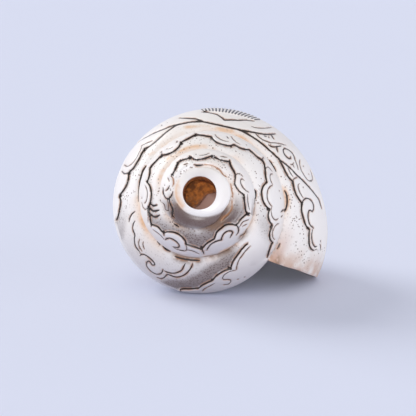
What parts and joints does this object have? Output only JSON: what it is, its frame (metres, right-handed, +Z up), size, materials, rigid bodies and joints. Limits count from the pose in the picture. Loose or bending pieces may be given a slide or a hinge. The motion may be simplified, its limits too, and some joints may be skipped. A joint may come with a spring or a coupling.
{
  "type": "carved conch shell",
  "caption": "Right-handed conch shell lying on its mouth, its tip ground off to a round blow hole, with clouds and scrolls carved in low relief round the whorls.",
  "frame": {"origin": "middle of the shell's plan, on the surface it lies on", "axes": "+Z up, -Y towards the blow hole along the coiling axis, +X towards the outer lip"},
  "size_m": [0.0864, 0.1144, 0.0691],
  "materials": {
    "ivory_shell": "polished shell, carved lines darkened"
  },
  "bodies": {
    "root": {"shell": "ivory_shell"}
  },
  "joints": []
}
